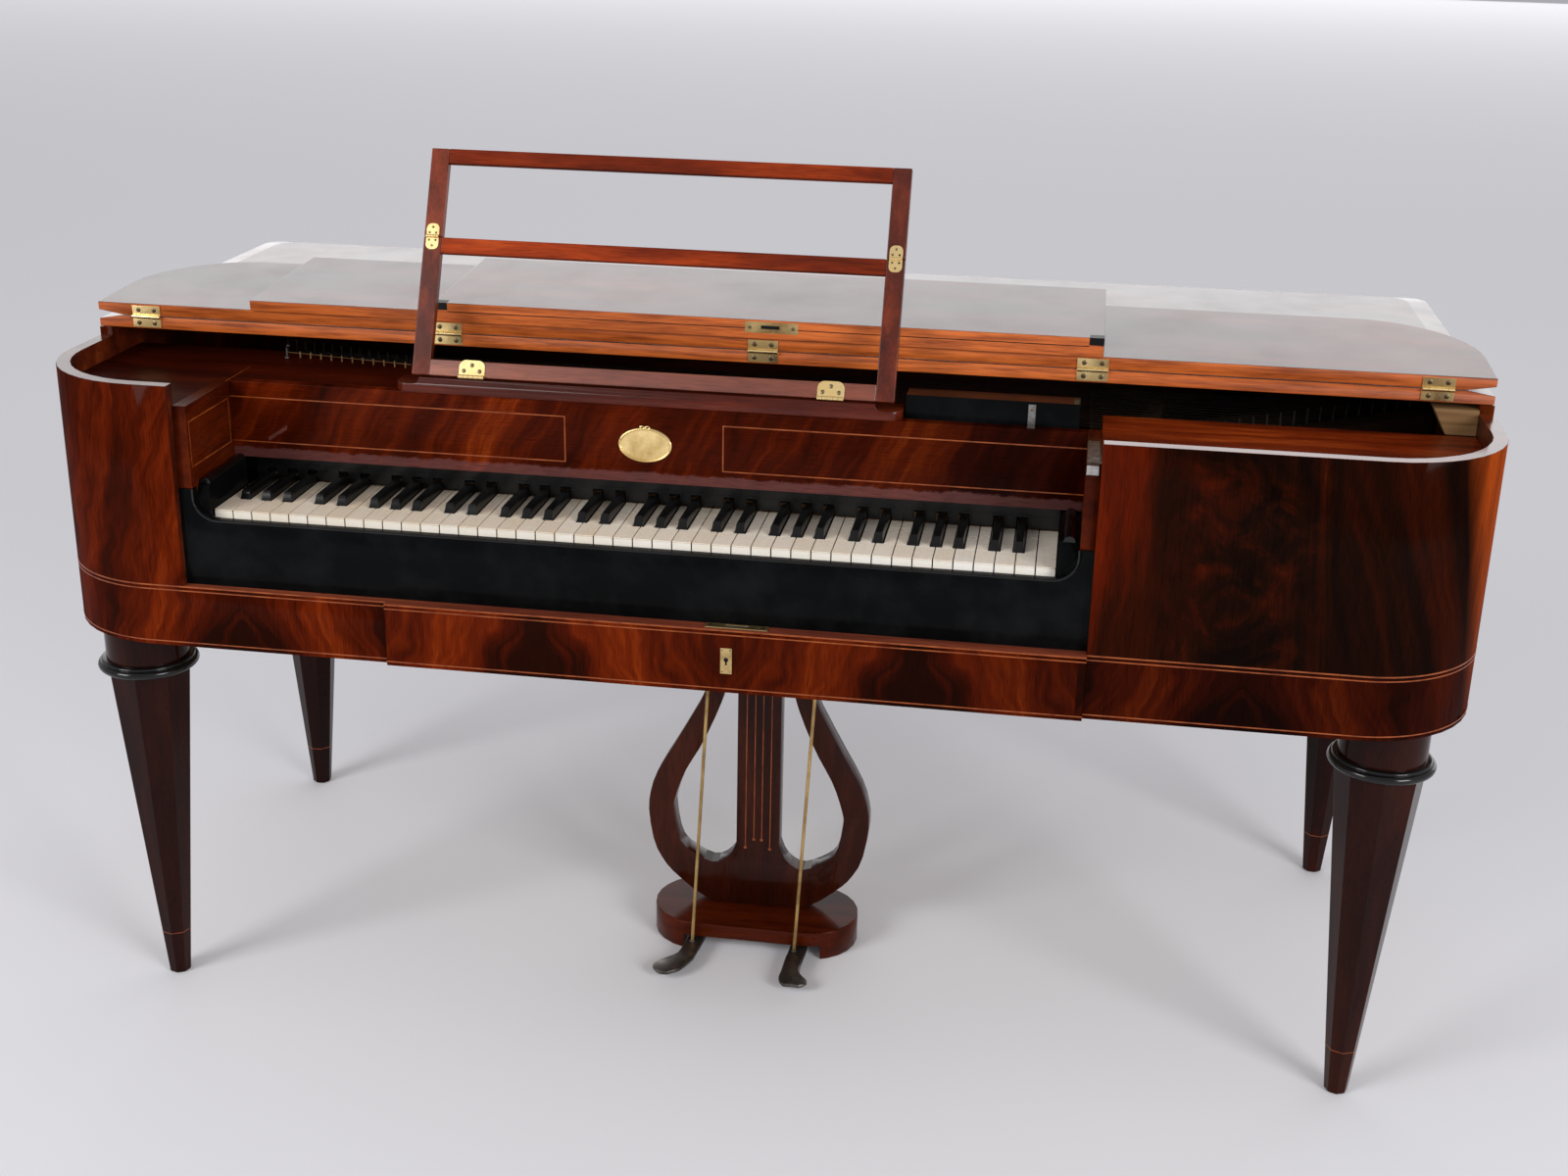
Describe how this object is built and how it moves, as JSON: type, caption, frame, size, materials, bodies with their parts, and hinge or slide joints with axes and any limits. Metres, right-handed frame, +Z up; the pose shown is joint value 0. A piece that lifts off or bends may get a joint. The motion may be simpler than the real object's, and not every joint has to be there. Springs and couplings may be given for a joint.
{
  "type": "square piano",
  "caption": "Square piano of the 1820s: mahogany case on four tapered legs, lyre with pedals, keyboard, folding lid and music desk.",
  "frame": {"origin": "on the floor under the middle of the box round the whole instrument", "axes": "+X along the length to the treble end, +Y to the back, +Z up"},
  "size_m": [1.668, 0.76, 1.0528],
  "materials": {
    "mahogany": "french polished",
    "ebony": "black polish",
    "ivory": "smooth, slightly yellowed",
    "softwood": "plain, unpolished",
    "brass": "aged",
    "iron": "worn smooth",
    "steel": "filed"
  },
  "bodies": {
    "case": {"case_left_end": "mahogany", "case_right_end": "mahogany", "case_back": "mahogany", "bottom_board": "softwood", "lock_rail": "mahogany", "lock_plate": "brass", "key_slip": "ebony", "cheek_left": "mahogany", "cheek_right": "mahogany", "nameboard": "mahogany", "nameplate": "brass", "shelf_left": "mahogany", "shelf_right": "mahogany", "key_frame": "softwood", "hammer_action": "softwood", "action_cover": "ebony", "soundboard": "softwood", "wrest_plank": "softwood", "hitch_rail": "softwood", "bridge_with_strings": "softwood", "leg_front_left": "mahogany", "leg_front_right": "mahogany", "leg_rear_left": "mahogany", "leg_rear_right": "mahogany", "lyre_frame": "mahogany", "lyre_plinth": "mahogany", "desk_base": "mahogany"},
    "lid_rear": {"lid_rear": "mahogany", "lid_hinge_1": "brass", "lid_hinge_2": "brass", "lid_hinge_3": "brass", "lid_hinge_4": "brass", "lid_hinge_5": "brass"},
    "lid_front": {"lid_front": "mahogany"},
    "fall": {"fall_board": "mahogany"},
    "desk_lower": {"desk_lower_frame": "mahogany", "desk_foot_hinge_left": "brass", "desk_foot_hinge_right": "brass", "desk_mid_hinge_left": "brass", "desk_mid_hinge_right": "brass"},
    "desk_upper": {"desk_upper_frame": "mahogany"},
    "lock_bolt": {"lock_bolt": "steel"},
    "pedal_left": {"pedal_left": "iron"},
    "pedal_right": {"pedal_right": "iron"},
    "rod_left": {"pedal_rod_left": "brass"},
    "rod_right": {"pedal_rod_right": "brass"},
    "keys_bass": {"keys_bass": "ivory"},
    "keys_treble": {"keys_treble": "ivory"},
    "key_c4": {"key_c4": "ivory"},
    "key_csharp4": {"key_csharp4": "ebony"},
    "key_d4": {"key_d4": "ivory"},
    "key_dsharp4": {"key_dsharp4": "ebony"},
    "key_e4": {"key_e4": "ivory"},
    "key_f4": {"key_f4": "ivory"},
    "key_fsharp4": {"key_fsharp4": "ebony"},
    "key_g4": {"key_g4": "ivory"},
    "key_gsharp4": {"key_gsharp4": "ebony"},
    "key_a4": {"key_a4": "ivory"},
    "key_asharp4": {"key_asharp4": "ebony"},
    "key_b4": {"key_b4": "ivory"}
  },
  "joints": [
    {"name": "lid_rear_hinge", "type": "hinge", "parent": "case", "child": "lid_rear", "pos_m": [0, 0.38, 0.8215], "axis": [-1, 0, 0], "range_deg": [0, 80]},
    {"name": "lid_front_fold", "type": "hinge", "parent": "lid_rear", "child": "lid_front", "pos_m": [0, -0.1575, 0.83675], "axis": [1, 0, 0], "range_deg": [0, 60]},
    {"name": "fall_fold", "type": "hinge", "parent": "lid_front", "child": "fall", "pos_m": [0, 0.05052, 0.86605], "axis": [-1, 0, 0], "range_deg": [0, 88]},
    {"name": "desk_fold", "type": "hinge", "parent": "case", "child": "desk_lower", "pos_m": [-0.1195, -0.2405, 0.8071], "axis": [1, 0, 0], "range_deg": [0, 110]},
    {"name": "desk_upper_fold", "type": "hinge", "parent": "desk_lower", "child": "desk_upper", "pos_m": [-0.1195, -0.17367, 0.9572], "axis": [1, 0, 0], "range_deg": [0, 177]},
    {"name": "lock_throw", "type": "slide", "parent": "case", "child": "lock_bolt", "axis": [0, 0, 1], "range_m": [0, 0.008]},
    {"name": "pedal_left_press", "type": "hinge", "parent": "case", "child": "pedal_left", "pos_m": [-0.076, -0.047, 0.0135], "axis": [1, 0, 0], "range_deg": [0, 2.8], "stiffness_Nm_per_rad": 2, "springref_deg": -11.46},
    {"name": "pedal_right_press", "type": "hinge", "parent": "case", "child": "pedal_right", "pos_m": [0.055, -0.047, 0.0135], "axis": [1, 0, 0], "range_deg": [0, 2.8], "stiffness_Nm_per_rad": 2, "springref_deg": -11.46},
    {"name": "rod_left_slide", "type": "slide", "parent": "case", "child": "rod_left", "axis": [0, 0, -1], "range_m": [0, 0.0043]},
    {"name": "rod_right_slide", "type": "slide", "parent": "case", "child": "rod_right", "axis": [0, 0, -1], "range_m": [0, 0.0043]},
    {"name": "keys_bass_press", "type": "hinge", "parent": "case", "child": "keys_bass", "pos_m": [-0.4, -0.175, 0.64], "axis": [1, 0, 0], "range_deg": [0, 2.4], "stiffness_Nm_per_rad": 12, "springref_deg": -5.73},
    {"name": "keys_treble_press", "type": "hinge", "parent": "case", "child": "keys_treble", "pos_m": [0.15, -0.175, 0.64], "axis": [1, 0, 0], "range_deg": [0, 2.4], "stiffness_Nm_per_rad": 12, "springref_deg": -5.73},
    {"name": "key_c4_press", "type": "hinge", "parent": "case", "child": "key_c4", "pos_m": [-0.13, -0.175, 0.64], "axis": [1, 0, 0], "range_deg": [0, 2.4], "stiffness_Nm_per_rad": 0.5, "springref_deg": -5.73},
    {"name": "key_csharp4_press", "type": "hinge", "parent": "case", "child": "key_csharp4", "pos_m": [-0.13, -0.175, 0.64], "axis": [1, 0, 0], "range_deg": [0, 2.4], "stiffness_Nm_per_rad": 0.5, "springref_deg": -5.73},
    {"name": "key_d4_press", "type": "hinge", "parent": "case", "child": "key_d4", "pos_m": [-0.13, -0.175, 0.64], "axis": [1, 0, 0], "range_deg": [0, 2.4], "stiffness_Nm_per_rad": 0.5, "springref_deg": -5.73},
    {"name": "key_dsharp4_press", "type": "hinge", "parent": "case", "child": "key_dsharp4", "pos_m": [-0.13, -0.175, 0.64], "axis": [1, 0, 0], "range_deg": [0, 2.4], "stiffness_Nm_per_rad": 0.5, "springref_deg": -5.73},
    {"name": "key_e4_press", "type": "hinge", "parent": "case", "child": "key_e4", "pos_m": [-0.13, -0.175, 0.64], "axis": [1, 0, 0], "range_deg": [0, 2.4], "stiffness_Nm_per_rad": 0.5, "springref_deg": -5.73},
    {"name": "key_f4_press", "type": "hinge", "parent": "case", "child": "key_f4", "pos_m": [-0.13, -0.175, 0.64], "axis": [1, 0, 0], "range_deg": [0, 2.4], "stiffness_Nm_per_rad": 0.5, "springref_deg": -5.73},
    {"name": "key_fsharp4_press", "type": "hinge", "parent": "case", "child": "key_fsharp4", "pos_m": [-0.13, -0.175, 0.64], "axis": [1, 0, 0], "range_deg": [0, 2.4], "stiffness_Nm_per_rad": 0.5, "springref_deg": -5.73},
    {"name": "key_g4_press", "type": "hinge", "parent": "case", "child": "key_g4", "pos_m": [-0.13, -0.175, 0.64], "axis": [1, 0, 0], "range_deg": [0, 2.4], "stiffness_Nm_per_rad": 0.5, "springref_deg": -5.73},
    {"name": "key_gsharp4_press", "type": "hinge", "parent": "case", "child": "key_gsharp4", "pos_m": [-0.13, -0.175, 0.64], "axis": [1, 0, 0], "range_deg": [0, 2.4], "stiffness_Nm_per_rad": 0.5, "springref_deg": -5.73},
    {"name": "key_a4_press", "type": "hinge", "parent": "case", "child": "key_a4", "pos_m": [-0.13, -0.175, 0.64], "axis": [1, 0, 0], "range_deg": [0, 2.4], "stiffness_Nm_per_rad": 0.5, "springref_deg": -5.73},
    {"name": "key_asharp4_press", "type": "hinge", "parent": "case", "child": "key_asharp4", "pos_m": [-0.13, -0.175, 0.64], "axis": [1, 0, 0], "range_deg": [0, 2.4], "stiffness_Nm_per_rad": 0.5, "springref_deg": -5.73},
    {"name": "key_b4_press", "type": "hinge", "parent": "case", "child": "key_b4", "pos_m": [-0.13, -0.175, 0.64], "axis": [1, 0, 0], "range_deg": [0, 2.4], "stiffness_Nm_per_rad": 0.5, "springref_deg": -5.73}
  ],
  "couplings": [
    {"joint": "rod_left_slide", "follows": "pedal_left_press", "m_per_rad": 0.084},
    {"joint": "rod_right_slide", "follows": "pedal_right_press", "m_per_rad": 0.084}
  ]
}
